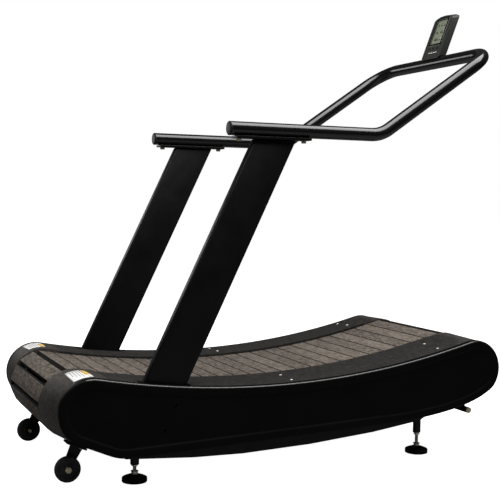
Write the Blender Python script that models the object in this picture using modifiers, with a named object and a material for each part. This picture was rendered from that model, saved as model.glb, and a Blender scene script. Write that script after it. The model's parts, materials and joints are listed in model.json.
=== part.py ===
"""Curved manual treadmill: a slat belt on a curved roller deck, two leaning
posts, a U-shaped handlebar and a small console.

Metres, +Z up. x runs forward (the way the runner faces), y to the runner's left.
Shapes are written with x measured from the rear of the side panels and z from
the floor; the last step moves everything back by CENTRE_X, so that the origin
is the middle of the footprint at floor level.
"""
import math

import bmesh
import bpy
from mathutils import Matrix, Vector

# ---- driving dimensions ----------------------------------------------------
CENTRE_X = 0.8078
GAP = 0.0003

DECK_R = 3.000
DECK_LOW_X = 0.648
DECK_LOW_Z = 0.294
BELT_R = 0.102
REAR_DRUM_X = 0.085
FRONT_DRUM_X = 1.482
SAG_X = 0.660
SAG_Z = 0.058

SLAT_COUNT = 57
SLAT_HALF = 0.215
SLAT_T = 0.018
SLAT_SPACE = 0.0035
CARRIER_T = 0.0055
CARRIER_BITE = 0.0012
CARRIER_Y = (0.130, 0.176)
PULLEY_R = 0.0775

COVER_IN = 0.2185
COVER_OUT = 0.3882
COVER_T = 0.004
COVER_PROUD = 0.010
REAR_COVER_INNER = (0.0925, 0.1105)
REAR_COVER_OUTER = (0.105, 0.1045)
FRONT_COVER_INNER = (1.479, 0.107)
FRONT_COVER_OUTER = (1.487, 0.102)
FRONT_COVER_PROUD = 0.005
RAIL_TOP = 0.007
RAIL_T = 0.008
RIM_LOW_X = 0.678
RIM_LOW_Z = 0.2984
RAIL_X = (0.157, 1.455)
REAR_COVER_X = 0.1565
REAR_TAIL_X = 0.125
FRONT_COVER_X = 1.398
REAR_TAIL = math.radians(247)
TAIL_SLOPE = math.radians(-23)

PANEL_IN = 0.3885
PANEL_OUT = 0.410
PANEL_REAR = (0.104, 0.1035)
PANEL_NOSE = (1.489, 0.103)
PANEL_RIM = 0.030
PANEL_SKIN = 0.004

SIDE_IN = 0.290
SIDE_OUT = 0.3489
SIDE_T = 0.006
SIDE_TOP = 0.040
SIDE_BOTTOM = (
    (0.226, 0.084), (0.450, 0.070), (0.620, 0.0675),
    (0.865, 0.0775), (1.108, 0.0985), (1.300, 0.1245),
)
CROSS_X = (0.300, 0.780, 1.240)
CROSS_SIZE = 0.040
CROSS_TOP = 0.067
ROLLER_R = 0.016
ROLLER_Y = (0.183, 0.213)
TRACK_Y = (0.2235, 0.2295)

POST_Y = (0.3492, 0.3812)
POST_WIDE = 0.1465
POST_FOOT = (0.277, 0.3346)
POST_LEAN = 0.4745
POST_Z = (0.150, 1.0839)
POST_WALL = 0.003
POST_BOLTS = ((0.366, 0.252), (0.332, 0.1785))
BOLT_LENGTH = 0.054

TUBE_R = 0.0225
TUBE_BORE = 0.0205
GRIP_Y = 0.367
GRIP_REAR = 0.549
GRIP_Z = 1.115
GRIP_BEND = 1.103
GRIP_FRONT = (1.559, 1.427)
PLATE_X = (0.566, 0.829)
PLATE_T = 0.008
PLATE_BOLTS = (0.582, 0.812)

CONSOLE_FOOT = (1.5369, 1.441)
CONSOLE_TILT = math.radians(21)
CONSOLE_W = 0.118
CONSOLE_H = 0.176
CONSOLE_T = 0.0335
CONSOLE_SPLIT = 0.012
CONSOLE_SKEW = math.radians(32)
CONSOLE_DEEP = CONSOLE_T * math.cos(CONSOLE_SKEW)
SCREEN = (0.064, 0.102)
SCREEN_Z = 0.1175
BUTTON = (0.013, 0.007)
BUTTON_Z = 0.046
BUTTON_COUNT = 3
BUTTON_STEP = 0.026

WHEEL = (0.059, 0.0535)
WHEEL_R = 0.0405
WHEEL_Y = (0.276, 0.296)
FOOT_X = {"rear": 0.268, "front": 1.3155}
FOOT_Y = 0.306
SOCKET_Z = {"rear": 0.055, "front": 0.073}
SOCKET_R = 0.014
PAD_R = 0.040
PAD_H = 0.024
STUD_R = 0.006
HANDLE = (1.527, 0.139)
HANDLE_Y = 0.318

PAINT = ((0.012, 0.012, 0.012), 0.45, 0.0)
BLACK_PLASTIC = ((0.010, 0.010, 0.010), 0.55, 0.0)
BROWN_COVER = ((0.060, 0.052, 0.045), 0.7, 0.0)
SLAT_RUBBER = ((0.075, 0.065, 0.057), 0.8, 0.0)
ZINC = ((0.75, 0.72, 0.62), 0.3, 1.0)
BRASSY = ((0.80, 0.62, 0.28), 0.35, 1.0)
STEEL = ((0.55, 0.55, 0.55), 0.35, 1.0)
RUBBER = ((0.015, 0.015, 0.015), 0.8, 0.0)
LCD = ((0.16, 0.19, 0.12), 0.2, 0.0)

SIDES = (("left", 1), ("right", -1))


# ---- scene and modelling helpers --------------------------------------------
def clear_scene():
    for obj in list(bpy.data.objects):
        bpy.data.objects.remove(obj)


def collection(name):
    coll = bpy.data.collections.new(name)
    bpy.context.scene.collection.children.link(coll)
    return coll


def material(name, look):
    colour, rough, metal = look
    mat = bpy.data.materials.new(name)
    mat.use_nodes = True
    shader = mat.node_tree.nodes["Principled BSDF"]
    shader.inputs["Base Color"].default_value = (*colour, 1)
    shader.inputs["Roughness"].default_value = rough
    shader.inputs["Metallic"].default_value = metal
    return mat


def add_mesh(name, bm):
    mesh = bpy.data.meshes.new(name)
    bm.to_mesh(mesh)
    bm.free()
    obj = bpy.data.objects.new(name, mesh)
    CUTTERS.objects.link(obj)
    return obj


def keep(obj, look):
    """Moves a finished solid into the treadmill and gives it its material."""
    obj.data.materials.clear()
    obj.data.materials.append(material(obj.name + "_look", look))
    CUTTERS.objects.unlink(obj)
    TREADMILL.objects.link(obj)
    obj.data.shade_smooth()
    obj.data.set_sharp_from_angle(angle=math.radians(35))
    return obj


def box(name, lo, hi):
    bm = bmesh.new()
    bmesh.ops.create_cube(bm, size=1)
    size = Vector(hi) - Vector(lo)
    bmesh.ops.scale(bm, vec=size, verts=bm.verts)
    obj = add_mesh(name, bm)
    obj.location = (Vector(hi) + Vector(lo)) / 2
    return obj


AXIS_TURN = {"X": (0, math.pi / 2, 0), "Y": (-math.pi / 2, 0, 0), "Z": (0, 0, 0)}


def rod(name, centre, axis, length, radius, sides=16):
    bm = bmesh.new()
    bmesh.ops.create_cone(
        bm, cap_ends=True, segments=sides, radius1=radius, radius2=radius, depth=length
    )
    obj = add_mesh(name, bm)
    obj.location = centre
    obj.rotation_euler = AXIS_TURN[axis]
    return obj


def turned(name, centre, axis, profile, steps=24):
    """A ring turned from a closed (radius, height) profile, outer side first."""
    mesh = bpy.data.meshes.new(name)
    count = len(profile)
    edges = [(i, (i + 1) % count) for i in range(count)]
    mesh.from_pydata([(r, 0, h) for r, h in profile], edges, [])
    obj = bpy.data.objects.new(name, mesh)
    CUTTERS.objects.link(obj)
    screw = obj.modifiers.new("Turn", "SCREW")
    screw.steps = steps
    screw.render_steps = steps
    screw.use_merge_vertices = True
    screw.merge_threshold = 0.00001
    obj.location = centre
    obj.rotation_euler = AXIS_TURN[axis]
    return obj


def as_mesh(curve_obj):
    """The evaluated curve as a mesh object in the same place, caps welded and whole."""
    graph = bpy.context.evaluated_depsgraph_get()
    mesh = bpy.data.meshes.new_from_object(curve_obj.evaluated_get(graph))
    bm = bmesh.new()
    bm.from_mesh(mesh)
    bmesh.ops.remove_doubles(bm, verts=bm.verts, dist=0.00001)
    bmesh.ops.dissolve_limit(bm, angle_limit=0.0005, verts=bm.verts, edges=bm.edges)
    bmesh.ops.transform(bm, matrix=curve_obj.matrix_world, verts=bm.verts)
    bm.to_mesh(mesh)
    bm.free()
    obj = bpy.data.objects.new(curve_obj.name + "_solid", mesh)
    CUTTERS.objects.link(obj)
    name = curve_obj.name
    bpy.data.objects.remove(curve_obj)
    obj.name = name
    return obj


OUTLINE_TURN = {
    "X": Matrix(((0, 0, 1), (1, 0, 0), (0, 1, 0))),
    "Y": Matrix(((1, 0, 0), (0, 0, -1), (0, 1, 0))),
    "Z": Matrix.Identity(3),
}


def outline(name, loops, axis, low, high):
    """A flat outline, or one with holes, as a slab across an axis.

    Its points are (y, z), (x, z) or (x, y) for a slab across X, Y or Z.
    """
    curve = bpy.data.curves.new(name, "CURVE")
    curve.dimensions = "2D"
    curve.fill_mode = "BOTH"
    curve.extrude = (high - low) / 2
    for loop in loops:
        spline = curve.splines.new("POLY")
        spline.points.add(len(loop) - 1)
        for point, (u, v) in zip(spline.points, loop):
            point.co = (u, v, 0, 1)
        spline.use_cyclic_u = True
    obj = bpy.data.objects.new(name, curve)
    CUTTERS.objects.link(obj)
    middle = {"X": (1, 0, 0), "Y": (0, 1, 0), "Z": (0, 0, 1)}[axis]
    place = Matrix.Translation(Vector(middle) * (low + high) / 2)
    obj.matrix_world = place @ OUTLINE_TURN[axis].to_4x4()
    bpy.context.view_layer.update()
    return as_mesh(obj)


def slab(name, points, side, inner, outer):
    """An (x, z) outline between two distances from the middle, on one side."""
    low, high = sorted((side * inner, side * outer))
    return outline(name, [points], "Y", low, high)


def tube(name, points, radius, sides_level=3):
    curve = bpy.data.curves.new(name, "CURVE")
    curve.dimensions = "3D"
    curve.bevel_depth = radius
    curve.bevel_resolution = sides_level
    curve.use_fill_caps = True
    spline = curve.splines.new("POLY")
    spline.points.add(len(points) - 1)
    for point, co in zip(spline.points, points):
        point.co = (*co, 1)
    obj = bpy.data.objects.new(name, curve)
    CUTTERS.objects.link(obj)
    bpy.context.view_layer.update()
    return as_mesh(obj)


def boolean(obj, other, operation):
    other.hide_render = True
    other.display_type = "WIRE"
    mod = obj.modifiers.new(operation.title(), "BOOLEAN")
    mod.operation = operation
    mod.solver = "EXACT"
    mod.object = other
    return obj


def cut(obj, *cutters):
    for cutter in cutters:
        boolean(obj, cutter, "DIFFERENCE")
    return obj


def join(obj, *others):
    for other in others:
        boolean(obj, other, "UNION")
    return obj


def soften(obj, width, segments=2):
    bevel = obj.modifiers.new("Soften", "BEVEL")
    bevel.width = width
    bevel.segments = segments
    bevel.limit_method = "ANGLE"
    bevel.angle_limit = math.radians(40)
    return obj


# ---- outline helpers ---------------------------------------------------------
def on_circle(centre, radius, angle):
    return (centre[0] + radius * math.cos(angle), centre[1] + radius * math.sin(angle))


def arc(centre, radius, start, end, count):
    return [on_circle(centre, radius, start + (end - start) * i / count) for i in range(count + 1)]


def inset(points, distance):
    """A smooth outline moved inwards (its points run anticlockwise)."""
    result = []
    count = len(points)
    for i in range(count):
        before = Vector(points[i]) - Vector(points[i - 1])
        after = Vector(points[(i + 1) % count]) - Vector(points[i])
        before.normalize()
        after.normalize()
        middle = (before + after).normalized()
        normal = Vector((-middle.y, middle.x))
        reach = distance / max(0.5, middle.dot(after))
        result.append(tuple(Vector(points[i]) + normal * reach))
    return result


def bend_path(corners, radii, count):
    """A polyline with its inner corners rounded to the given radii."""
    path = [Vector(corners[0])]
    for i, radius in enumerate(radii, start=1):
        corner = Vector(corners[i])
        into = (Vector(corners[i - 1]) - corner).normalized()
        away = (Vector(corners[i + 1]) - corner).normalized()
        half = into.angle(away) / 2
        start = corner + into * radius / math.tan(half)
        centre = corner + (into + away).normalized() * radius / math.sin(half)
        end = corner + away * radius / math.tan(half)
        first = start - centre
        last = end - centre
        for step in range(count + 1):
            path.append(centre + first.slerp(last, step / count) * radius)
    path.append(Vector(corners[-1]))
    return path


# ---- the belt's path ----------------------------------------------------------
DECK_CENTRE = (DECK_LOW_X, DECK_LOW_Z + DECK_R)
RIM_CENTRE = (RIM_LOW_X, RIM_LOW_Z + DECK_R)


def under_deck(x, radius, proud=0.0, curve=DECK_CENTRE):
    """The centre at x of a circle that touches the deck curve from below."""
    reach = DECK_R - proud + radius
    drop = math.sqrt(reach**2 - (x - curve[0]) ** 2)
    return (x, curve[1] - drop)


def deck_angle(x, radius=0.0, proud=0.0, curve=DECK_CENTRE):
    """The deck curve's angle at the touching point of a circle at x."""
    return math.asin((x - curve[0]) / (DECK_R - proud + radius))


def deck_z(x, proud=0.0, curve=DECK_CENTRE):
    return curve[1] - math.sqrt((DECK_R - proud) ** 2 - (x - curve[0]) ** 2)


def deck_arc(x0, x1, proud, count, curve=DECK_CENTRE):
    """Points of the deck curve raised by proud, from x0 to x1."""
    radius = DECK_R - proud
    a0 = math.asin((x0 - curve[0]) / radius) - math.pi / 2
    a1 = math.asin((x1 - curve[0]) / radius) - math.pi / 2
    return arc(curve, radius, a0, a1, count)


REAR_DRUM = under_deck(REAR_DRUM_X, BELT_R)
FRONT_DRUM = under_deck(FRONT_DRUM_X, BELT_R)


def sag_circle(drum):
    """Centre and radius of the return run's curve between its low point and a drum."""
    dx = drum[0] - SAG_X
    rise = drum[1] - SAG_Z
    radius = (dx**2 + rise**2 - BELT_R**2) / (2 * (rise - BELT_R))
    return (SAG_X, SAG_Z + radius), radius


def belt_segments():
    """(centre, outer radius, sign of depth, start angle, end angle) round the loop."""
    quarter = math.pi / 2
    rear = deck_angle(REAR_DRUM_X, BELT_R)
    front = deck_angle(FRONT_DRUM_X, BELT_R)
    sag_f, radius_f = sag_circle(FRONT_DRUM)
    sag_r, radius_r = sag_circle(REAR_DRUM)
    leave = math.asin((FRONT_DRUM[0] - SAG_X) / (radius_f - BELT_R))
    meet = math.asin((REAR_DRUM[0] - SAG_X) / (radius_r - BELT_R))
    return [
        (DECK_CENTRE, DECK_R, -1, rear - quarter, front - quarter, 20),
        (FRONT_DRUM, BELT_R, 1, front + quarter, leave - quarter, 16),
        (sag_f, radius_f, 1, leave - quarter, -quarter, 10),
        (sag_r, radius_r, 1, -quarter, meet - quarter, 7),
        (REAR_DRUM, BELT_R, 1, meet - quarter, rear - 3 * quarter, 16),
    ]


def belt_loop(depth):
    """The belt's loop at a depth below its outer surface."""
    points = []
    for centre, radius, sign, start, end, count in belt_segments():
        points += arc(centre, radius - sign * depth, start, end, count)[:-1]
    return points


def belt_place(distance, depth):
    """The outer surface's point, forward direction and outward normal at a distance."""
    for centre, radius, sign, start, end, _ in belt_segments():
        length = abs(end - start) * (radius - sign * depth)
        if distance <= length:
            break
        distance -= length
    turn = distance / (radius - sign * depth)
    angle = start + math.copysign(turn, end - start)
    radial = Vector((math.cos(angle), 0, math.sin(angle)))
    normal = radial * sign
    point = Vector((centre[0], 0, centre[1])) + radial * radius
    return point, normal


def belt_length(depth):
    return sum(abs(e - s) * (r - sign * depth) for _, r, sign, s, e, _ in belt_segments())


# ---- the running belt ----------------------------------------------------------
def slat_belt():
    depth = SLAT_T
    pitch = belt_length(depth) / SLAT_COUNT
    bm = bmesh.new()
    for i in range(SLAT_COUNT):
        point, normal = belt_place(i * pitch, depth)
        across = Vector((0, 1, 0))
        along = across.cross(normal)
        turn = Matrix((along, across, normal)).transposed().to_4x4()
        size = Matrix.Diagonal((pitch - SLAT_SPACE, 2 * SLAT_HALF, SLAT_T, 1))
        place = Matrix.Translation(point - normal * SLAT_T / 2)
        bmesh.ops.create_cube(bm, size=1, matrix=place @ turn @ size)
    belt = add_mesh("slat_belt", bm)
    outer = belt_loop(SLAT_T - CARRIER_BITE)
    inner = belt_loop(SLAT_T + CARRIER_T)
    for name, side in SIDES:
        low, high = sorted((side * CARRIER_Y[0], side * CARRIER_Y[1]))
        join(belt, outline("carrier_" + name, [outer, inner], "Y", low, high))
    return keep(belt, SLAT_RUBBER)


def drums_and_axles():
    bore = 0.0103
    y0, y1 = CARRIER_Y
    hub = 0.030
    core = 0.045
    end = 0.200
    half = [(bore, end), (hub, end), (hub, y1), (PULLEY_R, y1), (PULLEY_R, y0), (core, y0)]
    profile = half + [(r, -y) for r, y in reversed(half)]
    for name, drum in (("rear", REAR_DRUM), ("front", FRONT_DRUM)):
        centre = (drum[0], 0, drum[1])
        keep(turned(name + "_drum", centre, "Y", profile, 26), RUBBER)
        keep(rod(name + "_axle", centre, "Y", 0.692, 0.010, 16), STEEL)


def roller_tracks():
    """A curved strip each side with a row of rollers under the slats' ends."""
    centre_depth = SLAT_T + GAP + ROLLER_R
    radius = DECK_R + centre_depth
    count = 16
    first = math.asin((REAR_COVER_X + 0.025 - DECK_LOW_X) / radius)
    last = math.asin((FRONT_COVER_X - 0.022 - DECK_LOW_X) / radius)
    for name, side in SIDES:
        top = deck_arc(0.150, 1.415, -0.026, 16)
        under = deck_arc(0.150, 1.415, -(CROSS_TOP - GAP), 16)
        track = slab("roller_track_" + name, top + under[::-1], side, *TRACK_Y)
        for i in range(count):
            angle = first + (last - first) * i / (count - 1) - math.pi / 2
            x, z = on_circle(DECK_CENTRE, radius, angle)
            wheel_y = side * sum(ROLLER_Y) / 2
            width = ROLLER_Y[1] - ROLLER_Y[0]
            roller = rod("roller", (x, wheel_y, z), "Y", width, ROLLER_R, 10)
            pin_y = side * (ROLLER_Y[1] + TRACK_Y[0]) / 2
            pin_long = TRACK_Y[0] - ROLLER_Y[1] + 0.004
            pin = rod("roller_pin", (x, pin_y, z), "Y", pin_long, 0.004, 4)
            join(track, roller, pin)
        keep(track, STEEL)


# ---- frame ---------------------------------------------------------------------
def side_outline():
    """The frame side plate's edge, anticlockwise from its rear bottom corner."""
    points = list(SIDE_BOTTOM)
    radius = BELT_R - SIDE_TOP
    front = deck_angle(FRONT_DRUM_X, BELT_R)
    rear = deck_angle(REAR_DRUM_X, BELT_R)
    quarter = math.pi / 2
    points += arc(FRONT_DRUM, radius, math.radians(-60), front + quarter, 8)
    angles = (front - quarter, rear - quarter)
    points += arc(DECK_CENTRE, DECK_R + SIDE_TOP, *angles, 16)[1:-1]
    points += arc(REAR_DRUM, radius, rear + quarter, math.radians(150), 3)
    heel = under_deck(*PANEL_REAR, 0, RIM_CENTRE)
    points += arc(heel, 0.090, math.radians(195), REAR_TAIL, 4)
    return points


def bottom_z(x):
    """The side plate's lower edge at x, up its front slope beyond the last corner."""
    front = on_circle(FRONT_DRUM, BELT_R - SIDE_TOP, math.radians(-60))
    corners = [*SIDE_BOTTOM, front]
    for (x0, z0), (x1, z1) in zip(corners, corners[1:]):
        if x <= x1:
            break
    return z0 + (x - x0) * (z1 - z0) / (x1 - x0)


def frame_sides():
    """Pressed steel side plates, flanged inwards, with the feet's sockets."""
    shape = side_outline()
    hollow = inset(shape, SIDE_T)
    for name, side in SIDES:
        plate = slab("frame_side_" + name, shape, side, SIDE_IN, SIDE_OUT)
        cut(plate, slab("hollow", hollow, side, SIDE_IN - 0.01, SIDE_OUT - SIDE_T))
        for where, x in FOOT_X.items():
            low = SOCKET_Z[where]
            high = bottom_z(x) + 0.004
            centre = (x, side * FOOT_Y, (low + high) / 2)
            join(plate, rod("socket", centre, "Z", high - low, SOCKET_R, 16))
            centre = (x, side * FOOT_Y, low + 0.03)
            cut(plate, rod("socket_bore", centre, "Z", 0.10, STUD_R + 0.0006, 12))
        for x, z in (REAR_DRUM, FRONT_DRUM):
            cut(plate, rod("axle_hole", (x, side * SIDE_OUT, z), "Y", 0.03, 0.0103, 16))
        for x, z in POST_BOLTS:
            cut(plate, rod("bolt_hole", (x, side * SIDE_OUT, z), "Y", 0.03, 0.0055, 12))
        keep(plate, PAINT)


def cross_members():
    names = ("rear", "middle", "front")
    reach = SIDE_OUT - SIDE_T - GAP
    wall = 0.003
    for name, x in zip(names, CROSS_X):
        half = CROSS_SIZE / 2
        high = min(deck_z(x - half), deck_z(x + half)) - CROSS_TOP - 0.001
        low = high - CROSS_SIZE
        bar = box("cross_member_" + name, (x - half, -reach, low), (x + half, reach, high))
        inner = (x - half + wall, -reach - 0.01, low + wall)
        cut(bar, box("bar_bore", inner, (x + half - wall, reach + 0.01, high - wall)))
        keep(bar, PAINT)


# ---- covers and panels -----------------------------------------------------------
def loft(name, sections):
    """A closed solid through (x, z) outlines of equal length at each y."""
    bm = bmesh.new()
    rings = [[bm.verts.new((x, y, z)) for x, z in points] for y, points in sections]
    count = len(rings[0])
    for near, far in zip(rings, rings[1:]):
        for i in range(count):
            j = (i + 1) % count
            bm.faces.new((near[i], near[j], far[j], far[i]))
    bm.faces.new(rings[0])
    bm.faces.new(rings[-1])
    bmesh.ops.recalc_face_normals(bm, faces=bm.faces)
    return add_mesh(name, bm)


def rear_cover_outline(circle, depth, extra=0.0):
    """One section of the rear cover, depth inside its outer surface."""
    x, radius = circle
    centre = under_deck(x, radius, COVER_PROUD)
    start = deck_angle(x, radius, COVER_PROUD) + math.pi / 2
    top = deck_arc(REAR_COVER_X + extra, x, COVER_PROUD - depth, 3)[:-1]
    bend = arc(centre, radius - depth, start, REAR_TAIL, 14)
    end_x = REAR_TAIL_X + extra
    tail = (end_x, bend[-1][1] + (end_x - bend[-1][0]) * math.tan(TAIL_SLOPE))
    return top + bend + [tail]


def rear_cover_loft(name, side, depth, inner, outer, extra=0.0):
    """The rear cover's solid between two distances from the middle."""
    sections = []
    for y in (inner, outer):
        share = (y - COVER_IN) / (COVER_OUT - COVER_IN)
        start, end = REAR_COVER_INNER, REAR_COVER_OUTER
        circle = [a + (b - a) * share for a, b in zip(start, end)]
        sections.append((side * y, rear_cover_outline(circle, depth, extra)))
    return loft(name, sections)


def front_cover_outline(share, depth, back_x, drop):
    """One section of the front cover, open below the drum where drop is not zero."""
    ends = zip(FRONT_COVER_INNER, FRONT_COVER_OUTER)
    x, radius = (a + (b - a) * share for a, b in ends)
    curve = [a + (b - a) * share for a, b in zip(DECK_CENTRE, RIM_CENTRE)]
    proud = FRONT_COVER_PROUD * (1 - share)
    centre = under_deck(x, radius, proud, curve)
    start = math.radians(-55 - (15 if drop else 0))
    end = deck_angle(x, radius, proud, curve) + math.pi / 2
    bend = arc(centre, radius - depth, start, end, 14)
    top = deck_arc(x, back_x, proud - depth, 3, curve)[1:]
    floor = bend[0][1] - drop
    return [(back_x, floor), (bend[0][0], floor - 0.0001)] + bend + top


def front_cover_loft(name, side, depth, inner, outer, back_x, drop=0.0):
    """The front cover's solid between two distances from the middle."""
    sections = []
    for y in (inner, outer):
        share = (y - COVER_IN) / (COVER_OUT - COVER_IN)
        sections.append((side * y, front_cover_outline(share, depth, back_x, drop)))
    return loft(name, sections)


def end_covers():
    """Moulded end covers: a skin round the drum's end and a wall beside the belt."""
    wall = COVER_IN + COVER_T
    for name, side in SIDES:
        cover = rear_cover_loft("rear_end_cover_" + name, side, 0, COVER_IN, COVER_OUT)
        hollow = rear_cover_loft("hollow", side, COVER_T, wall, COVER_OUT + 0.01, 0.02)
        x, z = REAR_DRUM
        cut(cover, hollow, rod("axle_hole", (x, side * COVER_IN, z), "Y", 0.03, 0.012, 16))
        keep(cover, BROWN_COVER)
        node = "front_end_cover_" + name
        cover = front_cover_loft(node, side, 0, COVER_IN, COVER_OUT, FRONT_COVER_X)
        back_x = FRONT_COVER_X - 0.02
        cut(cover, front_cover_loft("hollow", side, COVER_T, wall, COVER_OUT + 0.01, back_x, 0.04))
        x, z = FRONT_DRUM
        cut(cover, rod("axle_hole", (x, side * COVER_IN, z), "Y", 0.03, 0.012, 16))
        cut(cover, rail_band("rail_space", side, RAIL_T + GAP, 0.03, GAP))
        keep(cover, BROWN_COVER)


def rail_plan(side, grow=0.0):
    """The foot rail seen from above: a round front end and a notch for the post."""
    x0 = RAIL_X[0] - grow
    x1 = RAIL_X[1] + grow
    inner = COVER_IN - grow
    outer = COVER_OUT + grow
    low_z = deck_z(POST_FOOT[0]) - 0.03
    notch_rear = POST_FOOT[0] + (low_z - POST_FOOT[1]) * POST_LEAN - 0.002
    notch_front = POST_FOOT[0] + POST_WIDE + 0.004
    notch_in = POST_Y[0] - 0.002
    radius = 0.055 + grow
    points = [(x0, inner)]
    points += arc((x1 - radius, inner + radius), radius, -math.pi / 2, 0, 5)
    points += arc((x1 - radius, outer - radius), radius, 0, math.pi / 2, 5)
    points += [(notch_front, outer), (notch_front, notch_in)]
    points += [(notch_rear, notch_in), (notch_rear, outer), (x0, outer)]
    if side < 0:
        points = [(x, -y) for x, y in reversed(points)]
    return points


def rail_z(x, y):
    """The foot rail's top, which runs from the deck's curve out to the rim's curve."""
    share = (y - COVER_IN) / (COVER_OUT - COVER_IN)
    return (1 - share) * deck_z(x, RAIL_TOP) + share * deck_z(x, 0, RIM_CENTRE)


def rail_band(name, side, under, over, grow=0.0):
    """A band from below to above the rail's top, trimmed to the foot rail's plan."""
    start, end = RAIL_X[0] - 0.01, RAIL_X[1] + 0.01
    places = [start + (end - start) * i / 18 for i in range(19)]
    sections = []
    for y in (COVER_IN - 0.01, COVER_OUT + 0.01):
        low = [(x, rail_z(x, y) - under) for x in places]
        high = [(x, rail_z(x, y) + over) for x in reversed(places)]
        sections.append((side * y, low + high))
    band = loft(name, sections)
    plan = outline("plan", [rail_plan(side, grow)], "Z", 0.2, 0.5)
    return boolean(band, plan, "INTERSECT")


def foot_rails():
    for name, side in SIDES:
        rail = rail_band("foot_rail_" + name, side, RAIL_T, 0)
        lip_x = (REAR_COVER_X + 0.002, FRONT_COVER_X - 0.002)
        lip_top = deck_arc(*lip_x, RAIL_TOP - RAIL_T + 0.002, 16)
        lip_under = deck_arc(*lip_x, -0.020, 16)
        join(rail, slab("lip", lip_under + lip_top[::-1], side, COVER_IN, COVER_IN + 0.004))
        keep(rail, BLACK_PLASTIC)


def panel_outline():
    """The side panel's edge, anticlockwise from the rear end of its flat bottom."""
    rear_x, rear_r = PANEL_REAR
    nose_x, nose_r = PANEL_NOSE
    rear = under_deck(rear_x, rear_r, 0, RIM_CENTRE)
    nose = under_deck(nose_x, nose_r, 0, RIM_CENTRE)
    rear_top = deck_angle(rear_x, rear_r, 0, RIM_CENTRE)
    nose_top = deck_angle(nose_x, nose_r, 0, RIM_CENTRE)
    quarter = math.pi / 2
    heel = arc(rear, rear_r, rear_top + quarter, REAR_TAIL, 11)
    corner = (0.190, heel[-1][1] + (0.190 - heel[-1][0]) * math.tan(TAIL_SLOPE))
    flat_end = Vector((1.200, 0.1405))
    chin_start = math.radians(-38)
    nose_arc = arc(nose, nose_r, chin_start, nose_top + quarter, 9)
    chin_end = Vector(nose_arc[0])
    pull = Vector((1.490, 0.165))
    points = [corner]
    for i in range(6):
        t = i / 6
        chin = flat_end * (1 - t) ** 2 + pull * 2 * t * (1 - t) + chin_end * t**2
        points.append(tuple(chin))
    points += nose_arc
    angles = (nose_top - quarter, rear_top - quarter)
    points += arc(RIM_CENTRE, DECK_R, *angles, 18)[1:-1]
    return points + heel


def side_panels():
    """Moulded panels: a raised rim round a sunk face, hollow behind."""
    shape = panel_outline()
    sunk = PANEL_OUT - 0.004
    for name, side in SIDES:
        panel = slab("side_panel_" + name, shape, side, PANEL_IN, PANEL_OUT)
        cut(panel, slab("sunk_face", inset(shape, PANEL_RIM), side, sunk, PANEL_OUT + 0.01))
        back = slab("back", inset(shape, PANEL_SKIN), side, PANEL_IN - 0.01, sunk - PANEL_SKIN)
        cut(panel, back)
        for x, z in POST_BOLTS:
            cut(panel, rod("screw_hole", (x, side * sunk, z), "Y", 0.03, 0.006, 12))
        keep(panel, PAINT)


# ---- posts and handlebar -----------------------------------------------------------
def post_edge(z, across=0.0):
    return (POST_FOOT[0] + (z - POST_FOOT[1]) * POST_LEAN + across, z)


def posts():
    bottom, top = POST_Z
    shape = [post_edge(bottom), post_edge(bottom, POST_WIDE)]
    shape += [post_edge(top, POST_WIDE), post_edge(top)]
    thin = POST_WALL / math.cos(math.atan(POST_LEAN))
    hollow = [post_edge(bottom - 0.02, thin), post_edge(bottom - 0.02, POST_WIDE - thin)]
    hollow += [post_edge(top + 0.02, POST_WIDE - thin), post_edge(top + 0.02, thin)]
    for name, side in SIDES:
        post = soften(slab("post_" + name, shape, side, *POST_Y), 0.005)
        inner, outer = POST_Y
        cut(post, slab("hollow", hollow, side, inner + POST_WALL, outer - POST_WALL))
        middle = side * (inner + outer) / 2
        for number, (x, z) in enumerate(POST_BOLTS):
            cut(post, rod("bolt_hole", (x, middle, z), "Y", 0.08, 0.0055, 12))
            which = ("upper", "lower")[number]
            head_y = side * (outer + 0.003)
            head = rod(f"post_bolt_{which}_{name}", (x, head_y, z), "Y", 0.006, 0.008, 6)
            shank_y = side * (outer + 0.002 - BOLT_LENGTH / 2)
            shank = rod("shank", (x, shank_y, z), "Y", BOLT_LENGTH, 0.005, 12)
            keep(join(head, shank), ZINC)
        keep(post, PAINT)


def handlebar_path(extra=0.0):
    rear = GRIP_REAR - extra
    front_x, front_z = GRIP_FRONT
    half = [(rear, -GRIP_Y, GRIP_Z), (GRIP_BEND, -GRIP_Y, GRIP_Z), (front_x, -GRIP_Y, front_z)]
    corners = half + [(x, -y, z) for x, y, z in reversed(half)]
    return bend_path(corners, (0.12, 0.105, 0.105, 0.12), 5)


def handlebar():
    bar = tube("handlebar", handlebar_path(), TUBE_R)
    cut(bar, tube("handlebar_bore", handlebar_path(0.02), TUBE_BORE))
    keep(bar, PAINT)
    for name, side in SIDES:
        centre = (GRIP_REAR - GAP - 0.002, side * GRIP_Y, GRIP_Z)
        cap = rod("handlebar_cap_" + name, centre, "X", 0.004, TUBE_R + 0.0005, 16)
        plug = (GRIP_REAR + 0.006, side * GRIP_Y, GRIP_Z)
        keep(join(cap, rod("plug", plug, "X", 0.020, 0.0192, 12)), BLACK_PLASTIC)


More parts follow.
